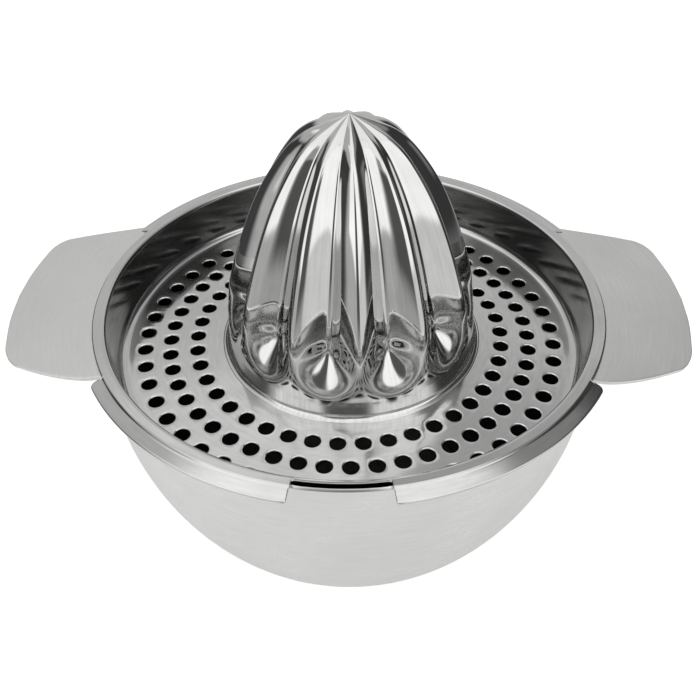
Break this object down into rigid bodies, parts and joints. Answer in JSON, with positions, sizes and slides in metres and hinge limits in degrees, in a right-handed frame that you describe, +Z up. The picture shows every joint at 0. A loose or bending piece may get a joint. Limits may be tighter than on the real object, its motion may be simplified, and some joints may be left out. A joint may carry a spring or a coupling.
{
  "type": "hand citrus juicer",
  "caption": "Hand citrus juicer of pressed stainless steel: a fluted reamer cone on a perforated strainer pan that lifts off a deep bowl with two ears.",
  "frame": {"origin": "centre of the bowl's flat base, on the face that stands on the table", "axes": "+Z up along the cone's axis, X along the two ears, -Y towards the pour slot in the strainer's flange"},
  "size_m": [0.18, 0.1412, 0.1333],
  "materials": {
    "satin_steel": "fine satin stainless steel sheet",
    "polished_steel": "polished stainless steel sheet, mirror inside the pan and softer on the flange",
    "mirror_steel": "mirror-polished stainless steel sheet"
  },
  "bodies": {
    "bowl": {"bowl": "satin_steel"},
    "strainer": {"strainer_pan": "polished_steel", "reamer_cone": "mirror_steel"}
  },
  "joints": [
    {"name": "strainer_lift", "type": "slide", "parent": "bowl", "child": "strainer", "axis": [0, 0, 1], "range_m": [0, 0.1]}
  ]
}
